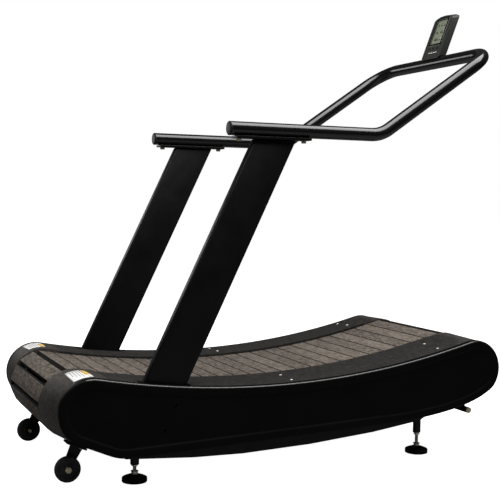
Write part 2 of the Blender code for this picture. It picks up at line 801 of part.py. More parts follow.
def post_plates():
    high = GRIP_Z - TUBE_R - GAP
    low = high - PLATE_T
    for name, side in SIDES:
        inner, outer = sorted((side * 0.3417, side * 0.3923))
        plate = box("post_plate_" + name, (PLATE_X[0], inner, low), (PLATE_X[1], outer, high))
        for which, x in zip(("rear", "front"), PLATE_BOLTS):
            centre = (x, side * GRIP_Y, (low + high) / 2)
            cut(plate, rod("bolt_hole", centre, "Z", 0.03, 0.0055, 12))
            head_z = low - GAP - 0.004
            bolt = rod(f"plate_bolt_{which}_{name}", (x, side * GRIP_Y, head_z), "Z", 0.008, 0.009, 6)
            shank_z = (head_z + high) / 2
            shank = rod("shank", (x, side * GRIP_Y, shank_z), "Z", high - head_z, 0.005, 12)
            keep(join(bolt, shank), ZINC)
        keep(plate, PAINT)


# ---- console --------------------------------------------------------------------------
def face_outline(width, height, arch, radius=0.012, count=3):
    """A console face from its foot up: rounded corners and an arched top."""
    half = width / 2
    points = arc((-half + radius, radius), radius, math.pi, 1.5 * math.pi, count)
    points += arc((half - radius, radius), radius, -math.pi / 2, 0, count)
    points += arc((half - radius, height - radius), radius, 0, math.radians(75), count)
    for i in range(1, 5):
        y = (half - radius) * (1 - i / 2.5)
        points.append((y, height + arch * (1 - (y / half) ** 2)))
    points += arc((-half + radius, height - radius), radius, math.radians(105), math.pi, count)
    return points


def tilted(obj, skew=0.0):
    """Leans a console piece, modelled upright at the origin, onto its foot.

    A skewed piece keeps its face and has its sides drawn up towards the back.
    """
    sides = (math.cos(skew), 0, math.sin(skew))
    draw = Matrix((sides, (0, 1, 0), (0, 0, 1))).transposed().to_4x4()
    lean = Matrix.Rotation(CONSOLE_TILT, 4, "Y") @ draw
    place = Matrix.Translation((CONSOLE_FOOT[0], 0, CONSOLE_FOOT[1]))
    obj.data.transform(lean)
    obj.location = place @ lean @ obj.location
    return obj


def lean_box(name, x, y, z):
    return tilted(box(name, (x[0], y[0], z[0]), (x[1], y[1], z[1])))


def console():
    face = face_outline(CONSOLE_W, CONSOLE_H, 0.009)
    front = tilted(outline("console_front", [face], "X", 0, CONSOLE_SPLIT), CONSOLE_SKEW)
    high = SCREEN_Z + SCREEN[1] / 2
    low = SCREEN_Z - SCREEN[1] / 2
    half = SCREEN[0] / 2
    cut(front, lean_box("window", (-0.01, 0.02), (-half, half), (low, high)))
    back_start = CONSOLE_SPLIT + GAP
    back = tilted(outline("console_back", [face], "X", back_start, CONSOLE_T), CONSOLE_SKEW)
    inner = inset(face, 0.004)
    cut(back, tilted(outline("hollow", [inner], "X", 0, CONSOLE_T - 0.004), CONSOLE_SKEW))
    bar = (GRIP_FRONT[0], 0, GRIP_FRONT[1])
    cut(front, rod("bar_space", bar, "Y", 0.3, TUBE_R + 0.0015, 24))
    cut(back, rod("bar_space", bar, "Y", 0.3, TUBE_R + 0.0015, 24))
    screen_y = (-half + GAP, half - GAP)
    screen = lean_box("console_screen", (0.003, 0.006), screen_y, (low + GAP, high - GAP))
    keep(screen, LCD)
    for i in range(BUTTON_COUNT):
        y = (i - (BUTTON_COUNT - 1) / 2) * BUTTON_STEP
        wide = BUTTON[0] / 2
        tall = BUTTON[1] / 2
        z = (BUTTON_Z - tall, BUTTON_Z + tall)
        cut(front, lean_box("button_hole", (-0.01, 0.02), (y - wide, y + wide), z))
        y_in = (y - wide + GAP, y + wide - GAP)
        z_in = (z[0] + GAP, z[1] - GAP)
        keep(lean_box(f"console_button_{i + 1}", (-0.0015, 0.009), y_in, z_in), RUBBER)
    keep(front, BLACK_PLASTIC)
    door = (0.052, 0.090)
    deep = CONSOLE_DEEP - 0.0024
    cut(back, lean_box("door_seat", (deep, 0.05), (-0.030, 0.030), door))
    door_z = (door[0] + GAP, door[1] - GAP)
    battery = lean_box("battery_cover", (deep + GAP, CONSOLE_DEEP), (-0.0297, 0.0297), door_z)
    keep(battery, BLACK_PLASTIC)
    keep(back, BLACK_PLASTIC)


def console_bracket():
    """A welded saddle between the handlebar's cross tube and the console's back."""
    lean = math.sin(CONSOLE_TILT), math.cos(CONSOLE_TILT)
    away = lean[1], -lean[0]
    start = CONSOLE_DEEP + GAP

    def at(out, up):
        x = CONSOLE_FOOT[0] + away[0] * out + lean[0] * up
        return (x, CONSOLE_FOOT[1] + away[1] * out + lean[1] * up)

    shape = [at(start, 0.050), at(start, 0), at(start + 0.012, -0.006)]
    shape += [at(start + 0.027, -0.006), at(start + 0.020, 0.014), at(start + 0.006, 0.050)]
    block = outline("console_bracket", [shape], "Y", -0.022, 0.022)
    clear = TUBE_R + 0.0005
    cut(block, rod("saddle", (GRIP_FRONT[0], 0, GRIP_FRONT[1]), "Y", 0.1, clear, 32))
    keep(block, PAINT)


# ---- wheels, feet and lift handle ---------------------------------------------------------
def wheels():
    x, z = WHEEL
    y0, y1 = WHEEL_Y
    half = (y1 - y0) / 2
    rim = WHEEL_R
    top = [(0.0065, half), (0.017, half), (0.019, half - 0.003), (rim - 0.012, half - 0.003)]
    top += [(rim - 0.010, half), (rim - 0.003, half), (rim, half - 0.003)]
    profile = top + [(r, -h) for r, h in reversed(top)]
    for name, side in SIDES:
        keep(turned("wheel_" + name, (x, side * (y0 + y1) / 2, z), "Y", profile, 20), RUBBER)
        head = rod("wheel_bolt_" + name, (x, side * (y1 + 0.0043), z), "Y", 0.008, 0.011, 6)
        join(head, rod("shank", (x, side * 0.281, z), "Y", 0.046, 0.006, 16))
        keep(head, BRASSY)


def wheel_brackets():
    """A plate bolted under the rear cover with an arm down to the wheel's bolt."""
    x, z = WHEEL
    heel = rear_cover_outline(REAR_COVER_INNER, -GAP)[-2]
    slope = (math.cos(TAIL_SLOPE), math.sin(TAIL_SLOPE))
    below = (slope[1], -slope[0])

    def at(along, down):
        return (
            heel[0] + slope[0] * along + below[0] * down,
            heel[1] + slope[1] * along + below[1] * down,
        )

    plate = [at(0.010, 0), at(0.010, 0.006), at(0.078, 0.006), at(0.078, 0)]
    arm = arc((x, z), 0.014, math.radians(160), math.radians(340), 6)
    arm += [at(0.068, 0.003), at(0.026, 0.003)]
    for name, side in SIDES:
        bracket = slab("wheel_bracket_" + name, plate, side, 0.240, 0.288)
        join(bracket, slab("arm", arm, side, 0.2682, 0.2742))
        cut(bracket, rod("bolt_hole", (x, side * 0.271, z), "Y", 0.03, 0.0063, 16))
        keep(bracket, PAINT)


def feet():
    bore = STUD_R + GAP
    pad = [(bore, PAD_H), (0.015, PAD_H), (0.033, 0.0175), (PAD_R - 0.002, 0.015), (PAD_R, 0.013)]
    pad += [(PAD_R, 0.002), (PAD_R - 0.002, 0), (bore, 0)]
    for where, x in FOOT_X.items():
        for name, side in SIDES:
            y = side * FOOT_Y
            keep(turned(f"foot_pad_{where}_{name}", (x, y, 0), "Z", pad, 18), RUBBER)
            top = SOCKET_Z[where] + 0.040
            low = 0.004
            stud = rod(f"foot_stud_{where}_{name}", (x, y, (top + low) / 2), "Z", top - low, STUD_R)
            nut_z = PAD_H + GAP + 0.005
            join(stud, rod("nut", (x, y, nut_z), "Z", 0.010, 0.011, 6))
            keep(stud, ZINC)


def lift_handle():
    """A cross tube below the front drum on two arms from the frame."""
    x, z = HANDLE
    handle = rod("lift_handle", (x, 0, z), "Y", 2 * HANDLE_Y, 0.011, 16)
    arm = [(x - 0.009, z), (x + 0.009, z), (1.508, 0.262), (1.484, 0.262)]
    for name, side in SIDES:
        join(handle, slab("arm", arm, side, 0.2832, SIDE_IN - GAP))
        y = side * (HANDLE_Y + GAP + 0.003)
        keep(rod("lift_handle_cap_" + name, (x, y, z), "Y", 0.006, 0.0105, 12), BRASSY)
    keep(handle, PAINT)


def centre_footprint():
    """Moves the whole treadmill so that the origin is under its middle."""
    empty = bpy.data.objects.new("treadmill_origin", None)
    TREADMILL.objects.link(empty)
    for obj in list(TREADMILL.objects) + list(CUTTERS.objects):
        if obj is not empty:
            obj.parent = empty
    empty.location.x = -CENTRE_X


clear_scene()
TREADMILL = collection("curved_treadmill")
CUTTERS = collection("cutters")
slat_belt()
drums_and_axles()
roller_tracks()
frame_sides()
cross_members()
end_covers()
foot_rails()
side_panels()
posts()
handlebar()
post_plates()
console()
console_bracket()
wheels()
wheel_brackets()
feet()
lift_handle()
centre_footprint()
bpy.context.view_layer.update()
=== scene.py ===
import json
import math
import random

import bmesh
import bpy
from mathutils import Matrix, Vector

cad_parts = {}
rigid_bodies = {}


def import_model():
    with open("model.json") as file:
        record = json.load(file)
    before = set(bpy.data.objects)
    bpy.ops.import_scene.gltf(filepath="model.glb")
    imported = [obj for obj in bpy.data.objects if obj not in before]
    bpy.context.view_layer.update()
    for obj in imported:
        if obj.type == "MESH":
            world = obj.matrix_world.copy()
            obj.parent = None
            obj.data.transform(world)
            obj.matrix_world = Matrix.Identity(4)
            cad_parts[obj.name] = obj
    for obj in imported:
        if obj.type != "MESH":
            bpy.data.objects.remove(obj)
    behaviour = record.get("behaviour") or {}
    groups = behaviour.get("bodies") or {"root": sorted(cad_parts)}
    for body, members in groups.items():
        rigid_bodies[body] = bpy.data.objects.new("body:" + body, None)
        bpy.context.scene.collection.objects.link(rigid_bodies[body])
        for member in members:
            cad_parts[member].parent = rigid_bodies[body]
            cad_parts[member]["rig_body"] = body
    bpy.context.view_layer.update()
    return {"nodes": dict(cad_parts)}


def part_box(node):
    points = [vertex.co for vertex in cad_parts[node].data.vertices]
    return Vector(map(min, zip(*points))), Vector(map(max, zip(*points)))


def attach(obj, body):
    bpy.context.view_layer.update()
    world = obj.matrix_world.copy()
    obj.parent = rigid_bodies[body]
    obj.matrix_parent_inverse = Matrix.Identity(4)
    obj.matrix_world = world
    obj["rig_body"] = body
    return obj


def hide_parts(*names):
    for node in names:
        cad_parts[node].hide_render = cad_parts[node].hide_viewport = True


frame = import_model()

# ---- sizes, in metres, with x measured forward from the rear of the side panels ----
PLATE_REAR = 0.566
X0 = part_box("post_plate_left")[0].x - PLATE_REAR
COVER_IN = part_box("rear_end_cover_left")[0].y
COVER_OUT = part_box("rear_end_cover_left")[1].y
PANEL_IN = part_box("side_panel_left")[0].y
PANEL_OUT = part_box("side_panel_left")[1].y
SLAT_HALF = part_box("slat_belt")[1].y
GRIP_Z = (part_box("handlebar_cap_left")[0].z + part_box("handlebar_cap_left")[1].z) / 2
GRIP_Y = (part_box("handlebar_cap_left")[0].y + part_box("handlebar_cap_left")[1].y) / 2
GRIP_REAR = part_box("handlebar")[0].x - X0
TUBE_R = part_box("handlebar")[1].y - GRIP_Y

DECK_R = 3.000
DECK_LOW_X = 0.648
DECK_LOW_Z = 0.294
BELT_R = 0.102
REAR_DRUM_X = 0.085
FRONT_DRUM_X = 1.482
SAG_X = 0.660
SAG_Z = 0.058
SLAT_COUNT = 57
SLAT_T = 0.018
SLAT_SPACE = 0.0055
SLAT_END = 0.0016
PAD_T = 0.010
CARRIER_T = 0.0055
CARRIER_Y = (0.130, 0.176)

RAIL_TOP = 0.007
RIM_LOW_X = 0.678
RIM_LOW_Z = 0.2984
RAIL_SCREW_X = (0.785, 1.357)
RAIL_SCREW_Y = (0.280, 0.362)
COVER_PROUD = 0.010
COVER_START = (0.0925, 0.1105)
COVER_END = (0.105, 0.1045)
COVER_TAIL = math.radians(247)
COVER_FRONT_X = 0.1565
PANEL_REAR = (0.104, 0.1035)
PANEL_NOSE = (1.489, 0.103)
PANEL_RIM = 0.030
PANEL_STEP = 0.004
PANEL_FLAT = (1.200, 0.1405)
PANEL_PULL = (1.490, 0.165)
TAIL_SLOPE = math.radians(-23)

GRIP_BEND = 1.103
GRIP_FRONT = (1.559, 1.427)
CONSOLE_TILT = math.radians(21)
CONSOLE_FOOT = (1.5369, 1.441)
SCREEN = (0.064, 0.102)
SCREEN_Z = 0.1175

SOCKET_LOW = {"rear": 0.055, "front": 0.073}
TOP_NUT = {"rear": 0.0047, "front": 0.0080}

SIDES = (("left", 1), ("right", -1))
QUARTER = math.pi / 2
DRAWS = random.Random(7)


# ---- flat and curved outlines --------------------------------------------------
def on_circle(centre, radius, angle):
    return (centre[0] + radius * math.cos(angle), centre[1] + radius * math.sin(angle))


def arc(centre, radius, start, end, count):
    return [on_circle(centre, radius, start + (end - start) * i / count) for i in range(count + 1)]


def inset(points, distance):
    """A smooth outline moved inwards (its points run anticlockwise)."""
    result = []
    count = len(points)
    for i in range(count):
        before = (Vector(points[i]) - Vector(points[i - 1])).normalized()
        after = (Vector(points[(i + 1) % count]) - Vector(points[i])).normalized()
        middle = (before + after).normalized()
        reach = distance / max(0.5, middle.dot(after))
        result.append(tuple(Vector(points[i]) + Vector((-middle.y, middle.x)) * reach))
    return result


def bend_path(corners, radii, count):
    """A polyline with its inner corners rounded to the given radii."""
    path = [Vector(corners[0])]
    for i, radius in enumerate(radii, start=1):
        corner = Vector(corners[i])
        into = (Vector(corners[i - 1]) - corner).normalized()
        away = (Vector(corners[i + 1]) - corner).normalized()
        half = into.angle(away) / 2
        centre = corner + (into + away).normalized() * radius / math.sin(half)
        first = corner + into * radius / math.tan(half) - centre
        last = corner + away * radius / math.tan(half) - centre
        for step in range(count + 1):
            path.append(centre + first.slerp(last, step / count) * radius)
    path.append(Vector(corners[-1]))
    return path


# ---- the deck and the belt's path ------------------------------------------------
DECK_CENTRE = (DECK_LOW_X, DECK_LOW_Z + DECK_R)
RIM_CENTRE = (RIM_LOW_X, RIM_LOW_Z + DECK_R)


def under_deck(x, radius, proud=0.0, curve=DECK_CENTRE):
    """The centre at x of a circle that touches the deck curve from below."""
    reach = DECK_R - proud + radius
    return (x, curve[1] - math.sqrt(reach**2 - (x - curve[0]) ** 2))


def deck_angle(x, radius=0.0, proud=0.0, curve=DECK_CENTRE):
    return math.asin((x - curve[0]) / (DECK_R - proud + radius))


def deck_z(x, proud=0.0, curve=DECK_CENTRE):
    return curve[1] - math.sqrt((DECK_R - proud) ** 2 - (x - curve[0]) ** 2)


def rail_z(x, y):
    """The foot rail's top, which runs from the deck's curve out to the rim's curve."""
    share = (y - COVER_IN) / (COVER_OUT - COVER_IN)
    return (1 - share) * deck_z(x, RAIL_TOP) + share * deck_z(x, 0, RIM_CENTRE)


REAR_DRUM = under_deck(REAR_DRUM_X, BELT_R)
FRONT_DRUM = under_deck(FRONT_DRUM_X, BELT_R)


def sag_circle(drum):
    dx = drum[0] - SAG_X
    rise = drum[1] - SAG_Z
    radius = (dx**2 + rise**2 - BELT_R**2) / (2 * (rise - BELT_R))
    return (SAG_X, SAG_Z + radius), radius


def belt_segments():
    """(centre, outer radius, sign of depth, start angle, end angle) round the loop."""
    rear = deck_angle(REAR_DRUM_X, BELT_R)
    front = deck_angle(FRONT_DRUM_X, BELT_R)
    sag_f, radius_f = sag_circle(FRONT_DRUM)
    sag_r, radius_r = sag_circle(REAR_DRUM)
    leave = math.asin((FRONT_DRUM[0] - SAG_X) / (radius_f - BELT_R))
    meet = math.asin((REAR_DRUM[0] - SAG_X) / (radius_r - BELT_R))
    return [
        (DECK_CENTRE, DECK_R, -1, rear - QUARTER, front - QUARTER),
        (FRONT_DRUM, BELT_R, 1, front + QUARTER, leave - QUARTER),
        (sag_f, radius_f, 1, leave - QUARTER, -QUARTER),
        (sag_r, radius_r, 1, -QUARTER, meet - QUARTER),
        (REAR_DRUM, BELT_R, 1, meet - QUARTER, rear - 3 * QUARTER),
    ]


def belt_place(distance, depth):
    """The outer surface's point and outward normal at a distance along the belt."""
    for centre, radius, sign, start, end in belt_segments():
        length = abs(end - start) * (radius - sign * depth)
        if distance <= length:
            break
        distance -= length
    angle = start + math.copysign(distance / (radius - sign * depth), end - start)
    radial = Vector((math.cos(angle), 0, math.sin(angle)))
    return Vector((centre[0], 0, centre[1])) + radial * radius, radial * sign


def belt_length(depth):
    return sum(abs(e - s) * (r - sign * depth) for _, r, sign, s, e in belt_segments())


# ---- mesh building ---------------------------------------------------------------
def piece(name, bm, looks, body="frame", stands_for=(), sharp=40):
    """A finished mesh as an object that rides on a body, its x moved to the frame's."""
    bmesh.ops.recalc_face_normals(bm, faces=bm.faces)
    mesh = bpy.data.meshes.new(name)
    bm.to_mesh(mesh)
    bm.free()
    return dress(name, mesh, looks, body, stands_for, sharp, shift=X0)


def dress(name, mesh, looks, body, stands_for, sharp, shift=0.0):
    mesh.transform(Matrix.Translation((shift, 0, 0)))
    mesh.shade_smooth()
    mesh.set_sharp_from_angle(angle=math.radians(sharp))
    obj = bpy.data.objects.new(name, mesh)
    bpy.context.scene.collection.objects.link(obj)
    for look in looks if isinstance(looks, (list, tuple)) else [looks]:
        mesh.materials.append(look)
    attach(obj, body)
    if stands_for:
        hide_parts(*stands_for)
    return obj


def loft(bm, rings, closed=True, caps=(True, True), material=0):
    """Skins rings of equal length; returns their vertices."""
    made = [[bm.verts.new(p) for p in ring] for ring in rings]
    count = len(made[0])
    last = count if closed else count - 1
    for near, far in zip(made, made[1:]):
        for i in range(last):
            j = (i + 1) % count
            bm.faces.new((near[i], near[j], far[j], far[i])).material_index = material
    for ring, cap in ((made[0], caps[0]), (made[-1], caps[1])):
        if cap:
            bm.faces.new(ring).material_index = material
    return made


AXES = {
    "X": Matrix.Rotation(QUARTER, 3, "Y"),
    "Y": Matrix.Rotation(-QUARTER, 3, "X"),
    "Z": Matrix.Identity(3),
}


def facing(side):
    """Turns a lathe's axis outward, away from the middle of the machine."""
    return AXES["Y"] if side > 0 else AXES["Y"] @ Matrix.Rotation(math.pi, 3, "X")


def lathe(bm, centre, axis, profile, steps=48, material=0, turn=None):
    """Revolves (radius, height) points; a radius of nought closes an end."""
    turn = turn or AXES[axis]
    rings = []
    for radius, height in profile:
        ring = []
        for i in range(steps):
            a = 2 * math.pi * i / steps
            spoke = Vector((radius * math.cos(a), radius * math.sin(a), height))
            ring.append(Vector(centre) + turn @ spoke)
        rings.append(ring)
    return loft(bm, rings, material=material)


def hex_head(bm, centre, axis, radius, height, material=0, turn=None):
    chamfer = radius * 0.1
    profile = [(radius - chamfer, 0), (radius, chamfer)]
    profile += [(radius, height - chamfer), (radius - 1.6 * chamfer, height)]
    lathe(bm, centre, axis, profile, 6, material, turn)


def sweep(bm, path, radius, sides=40, material=0):
    """A round tube along a path."""
    rings = []
    side = Vector((0, 1, 0))
    for i, point in enumerate(path):
        after = Vector(path[min(i + 1, len(path) - 1)])
        ahead = (after - Vector(path[max(i - 1, 0)])).normalized()
        if abs(side.dot(ahead)) < 0.999:
            side = (side - ahead * side.dot(ahead)).normalized()
        else:
            side = Vector((0, 0, 1))
        up = ahead.cross(side)
        ring = []
        for k in range(sides):
            a = 2 * math.pi * k / sides
            ring.append(Vector(point) + (side * math.cos(a) + up * math.sin(a)) * radius)
        rings.append(ring)
    loft(bm, rings, material=material)


def round_edges(bm, width, segments=2, angle=30):
    """Rounds every edge that turns by more than an angle in degrees."""
    least = math.radians(angle)
    joined = [e for e in bm.edges if len(e.link_faces) == 2]
    edges = [e for e in joined if e.calc_face_angle(0) > least]
    shape = {"segments": segments, "profile": 0.6, "affect": "EDGES", "clamp_overlap": True}
    bmesh.ops.bevel(bm, geom=edges, offset=width, **shape)


def refined(node, look, width=0.0012, segments=2, sharp=40):
    """The CAD node's own shape with its edges rounded and its curves shaded smooth."""
    bm = bmesh.new()
    bm.from_mesh(frame["nodes"][node].data)
    bmesh.ops.remove_doubles(bm, verts=bm.verts, dist=0.00002)
    bmesh.ops.dissolve_limit(bm, angle_limit=math.radians(0.6), verts=bm.verts, edges=bm.edges)
    if width:
        round_edges(bm, width, segments)
    mesh = bpy.data.meshes.new(node + "_detail")
    bm.to_mesh(mesh)
    bm.free()
    body = frame["nodes"][node]["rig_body"]
    return dress(node + "_detail", mesh, look, body, [node], sharp)


# ---- materials ---------------------------------------------------------------------
class Look:
    """A small helper that wires one node material."""

    def __init__(self, name, rough=0.5, metal=0.0, spec=0.5, coat=0.0):
        self.material = bpy.data.materials.new(name)
        self.material.use_nodes = True
        self.nodes = self.material.node_tree.nodes
        self.links = self.material.node_tree.links
        self.shader = self.nodes["Principled BSDF"]
        self.shader.inputs["Roughness"].default_value = rough
        self.shader.inputs["Metallic"].default_value = metal
        self.shader.inputs["Specular IOR Level"].default_value = spec
        self.shader.inputs["Coat Weight"].default_value = coat
        self.shader.inputs["Coat Roughness"].default_value = 0.12
        self.place = self.nodes.new("ShaderNodeTexCoord").outputs["Object"]

    def scaled(self, scale):
        node = self.nodes.new("ShaderNodeMapping")
        node.inputs["Scale"].default_value = scale
        self.links.new(self.place, node.inputs["Vector"])
        return node.outputs["Vector"]

    def noise(self, scale, detail=4.0, stretch=(1, 1, 1), rough=0.55):
        node = self.nodes.new("ShaderNodeTexNoise")
        node.inputs["Scale"].default_value = scale
        node.inputs["Detail"].default_value = detail
        node.inputs["Roughness"].default_value = rough
        self.links.new(self.scaled(stretch), node.inputs["Vector"])
        return node.outputs["Fac"]

    def attribute(self, name):
        node = self.nodes.new("ShaderNodeAttribute")
        node.attribute_name = name
        return node.outputs["Fac"]

    def remap(self, value, low, high, to_low, to_high):
        node = self.nodes.new("ShaderNodeMapRange")
        node.inputs["From Min"].default_value = low
        node.inputs["From Max"].default_value = high
        node.inputs["To Min"].default_value = to_low
        node.inputs["To Max"].default_value = to_high
        self.links.new(value, node.inputs["Value"])
        return node.outputs["Result"]

    def mix(self, factor, first, second):
        """Blends two colours; each is a colour or another node's output."""
        node = self.nodes.new("ShaderNodeMix")
        node.data_type = "RGBA"
        self.links.new(factor, node.inputs["Factor"])
        for value, socket in ((first, node.inputs[6]), (second, node.inputs[7])):
            if isinstance(value, tuple):
                socket.default_value = (*value, 1)
            else:
                self.links.new(value, socket)
        return node.outputs[2]

    def maths(self, kind, first, second):
        node = self.nodes.new("ShaderNodeMath")
        node.operation = kind
        for value, socket in ((first, node.inputs[0]), (second, node.inputs[1])):
            if isinstance(value, (int, float)):
                socket.default_value = value
            else:
                self.links.new(value, socket)
        return node.outputs[0]

    def colour(self, value):
        self.links.new(value, self.shader.inputs["Base Color"])

    def roughness(self, value):
        self.links.new(value, self.shader.inputs["Roughness"])

    def bump(self, height, strength, distance):
        node = self.nodes.new("ShaderNodeBump")
        node.inputs["Strength"].default_value = strength
        node.inputs["Distance"].default_value = distance
        self.links.new(height, node.inputs["Height"])
        self.links.new(node.outputs["Normal"], self.shader.inputs["Normal"])


# Near-black colour of the slats' side walls: painted shade in the gaps between slats.
SLAT_GAP_SHADE = (0.006, 0.0055, 0.005)


def shade(colour, factor):
    return tuple(c * factor for c in colour)


def coated(name, colour, rough, spec, lighter_edge, coat=0.0, peel=700, depth=0.00012):
    """Paint or moulded plastic: fine peel, slow tone change and lighter, smoother edges where faces are
    marked 'edge'; on the side panels' rims the lighter edge colour is a painted highlight.
    """
    look = Look(name, rough, 0.0, spec, coat)
    slow = look.noise(5.0, 5.0)
    fine = look.noise(peel, 2.0)
    tone = look.remap(slow, 0.3, 0.7, 0.0, 1.0)
    base = look.mix(tone, shade(colour, 0.8), shade(colour, 1.2))
    patchy = look.remap(look.noise(60, 3.0), 0.35, 0.6, 0.3, 1.0)
    # Faces marked 'edge' blend to the lighter edge colour; on the panel rims this is a painted highlight.
    edge = look.maths("MULTIPLY", look.attribute("edge"), patchy)
    look.colour(look.mix(edge, base, lighter_edge))
    smudge = look.remap(look.noise(14.0, 6.0), 0.3, 0.7, rough * 0.88, rough * 1.14)
    look.roughness(look.maths("SUBTRACT", smudge, look.maths("MULTIPLY", edge, rough * 0.3)))
    look.bump(fine, 0.35, depth)
    return look.material


def wood_grain(name, colour, dark, light, rough=0.72):
    """Moulded rubber with a grain across the machine; faces marked 'edge' (the slats' side walls) are
    painted near-black, as painted shade in the gaps.
    """
    look = Look(name, rough, 0.0, 0.3)
    streaks = look.noise(1.0, 8.0, (95, 34, 95), 0.8)
    fibres = look.noise(1.0, 5.0, (600, 60, 600), 0.6)
    clouds = look.noise(22.0, 5.0)
    streak = look.remap(streaks, 0.42, 0.58, 0.0, 1.0)
    base = look.mix(streak, dark, light)
    base = look.mix(look.remap(clouds, 0.35, 0.7, 0.0, 0.45), base, colour)
    tint = look.mix(look.attribute("tone"), shade(colour, 0.72), shade(light, 1.1))
    half = look.remap(look.attribute("tone"), 0.0, 1.0, 0.22, 0.30)
    base = look.mix(half, base, tint)
    # Slat side walls painted near-black: painted shade in the gaps between slats.
    sides = look.maths("MULTIPLY", look.attribute("edge"), look.remap(fibres, 0.3, 0.6, 0.85, 1.0))
    look.colour(look.mix(sides, base, SLAT_GAP_SHADE))
    look.roughness(look.remap(fibres, 0.3, 0.7, rough * 0.9, min(1.0, rough * 1.15)))
    look.bump(look.maths("ADD", streaks, look.maths("MULTIPLY", fibres, 0.6)), 0.55, 0.0006)
    return look.material


def rubber(name, colour, rough=0.75, spec=0.25, depth=0.0003):
    """Plain rubber with a little dust."""
    look = Look(name, rough, 0.0, spec)
    dust = look.remap(look.noise(30.0, 6.0), 0.45, 0.75, 0.0, 0.6)
    base = look.mix(dust, colour, shade(colour, 2.2))
    lighter_edge = look.maths("MULTIPLY", look.attribute("edge"), 0.6)
    look.colour(look.mix(lighter_edge, base, shade(colour, 4.0)))
    look.roughness(look.remap(look.noise(90.0, 3.0), 0.3, 0.7, rough * 0.9, rough * 1.1))
    look.bump(look.noise(900.0, 2.0), 0.5, depth)
    return look.material


def plated(name, colour, rough, brushed=(1, 1, 1), metal=1.0):
    """Zinc, brass or bare steel: faint brushing, stains and small scratches."""
    look = Look(name, rough, metal, 0.5)
    stain = look.remap(look.noise(45.0, 5.0), 0.4, 0.7, 0.0, 0.8)
    look.colour(look.mix(stain, colour, shade(colour, 0.62)))
    look.roughness(look.remap(look.noise(120.0, 6.0, brushed), 0.3, 0.7, rough * 0.7, rough * 1.5))
    look.bump(look.noise(400.0, 3.0, brushed), 0.25, 0.0001)
    return look.material


def flat_print(name, colour, rough, spec=0.4, speckle=0.9):
    """Smooth print, film or glass with a faint speckle."""
    look = Look(name, rough, 0.0, spec)
    grain = look.remap(look.noise(500.0, 3.0), 0.3, 0.7, 0.0, 1.0)
    look.colour(look.mix(grain, shade(colour, speckle), colour))
    look.roughness(look.remap(look.noise(60.0, 4.0), 0.3, 0.7, rough * 0.8, rough * 1.2))
    look.bump(look.noise(1200.0, 1.0), 0.1, 0.00005)
    return look.material


PAINT = coated("satin_powder_coat", (0.0032, 0.0032, 0.0036), 0.40, 0.20, (0.022, 0.022, 0.023))
PANEL = coated("satin_moulding", (0.0032, 0.0032, 0.0034), 0.45, 0.06, (0.020, 0.020, 0.019), peel=900)
# Rim material: its lighter colour is a painted highlight line along the side panels' rims.
PANEL_RIM_HIGHLIGHT = coated("polished_rim_painted_highlight", (0.010, 0.010, 0.009), 0.24, 0.5, (0.030, 0.029, 0.027), coat=0.1)
GLOSS = coated(
    "gloss_enamel", (0.0040, 0.0040, 0.0040), 0.20, 0.5, (0.03, 0.03, 0.03), coat=0.25, depth=0.00004
)
CAP_PLASTIC = coated("black_cap", (0.010, 0.010, 0.010), 0.5, 0.35, (0.04, 0.04, 0.04))
CONSOLE = coated("console_plastic", (0.028, 0.029, 0.026), 0.45, 0.35, (0.09, 0.09, 0.088), peel=1400)
BEZEL = coated("gloss_bezel", (0.005, 0.005, 0.005), 0.12, 0.5, (0.05, 0.05, 0.05), coat=0.4, depth=0.00002)
SLAT_TOP = wood_grain("slat_grain", (0.104, 0.087, 0.072), (0.022, 0.018, 0.014), (0.215, 0.180, 0.150), 0.8)
COVER = wood_grain("cover_grain", (0.034, 0.029, 0.026), (0.018, 0.015, 0.013), (0.062, 0.053, 0.046), 0.62)
RAIL = wood_grain("rail_grain", (0.017, 0.015, 0.014), (0.006, 0.005, 0.005), (0.034, 0.030, 0.026), 0.6)
SLAT_BASE = rubber("slat_base", (0.010, 0.0095, 0.009))
RUBBER = rubber("black_rubber", (0.0085, 0.0085, 0.0088))
TYRE = rubber("grey_tyre", (0.030, 0.030, 0.030), 0.7)
ZINC = plated("zinc_plate", (0.84, 0.80, 0.72), 0.30, metal=0.6)
BRASS = plated("yellow_plate", (1.0, 0.86, 0.58), 0.34, metal=0.15)
STEEL = plated("bare_steel", (0.48, 0.48, 0.49), 0.36, (1, 12, 1))
LCD = flat_print("display_grey_green", (0.20, 0.22, 0.16), 0.30)
LCD_MARK = flat_print("display_segment", (0.13, 0.145, 0.105), 0.35)
WHITE_PRINT = flat_print("pale_print", (0.62, 0.62, 0.60), 0.5)
LABEL = flat_print("label_white", (0.86, 0.85, 0.84), 0.4, 0.4, 0.97)
LABEL_BAND = flat_print("label_yellow", (0.85, 0.56, 0.14), 0.4, 0.4, 0.95)
LABEL_BAR = flat_print("label_grey", (0.42, 0.42, 0.41), 0.4, 0.4, 0.9)


# ---- the running belt ---------------------------------------------------------------
def slat_rings(point, normal, half_length, top, depth, corner, y_half):
    """Cross-sections of one slat layer, its top corners rounded, from end to end."""
    along = Vector((0, 1, 0)).cross(normal)
    section = []
    for side, start in ((1, 0), (-1, QUARTER)):
        for k in range(4):
            a = start + QUARTER * k / 3
            u = (half_length - corner) * side + corner * math.cos(a)
            section.append((u, corner * math.sin(a) - corner - top))
    section += [(-half_length, -top - depth), (half_length, -top - depth)]
    rings = []
    end = SLAT_END
    for y, shrink in ((-y_half, end), (-y_half + end, 0), (y_half - end, 0), (y_half, end)):
        ring = []
        for u, v in section:
            drop = shrink if min(0.0, v + top) > -corner * 1.01 else 0.0
            place = point + along * u * (1 - shrink * 4) + normal * (v - drop)
            ring.append(place + Vector((0, y, 0)))
        rings.append(ring)
    return rings


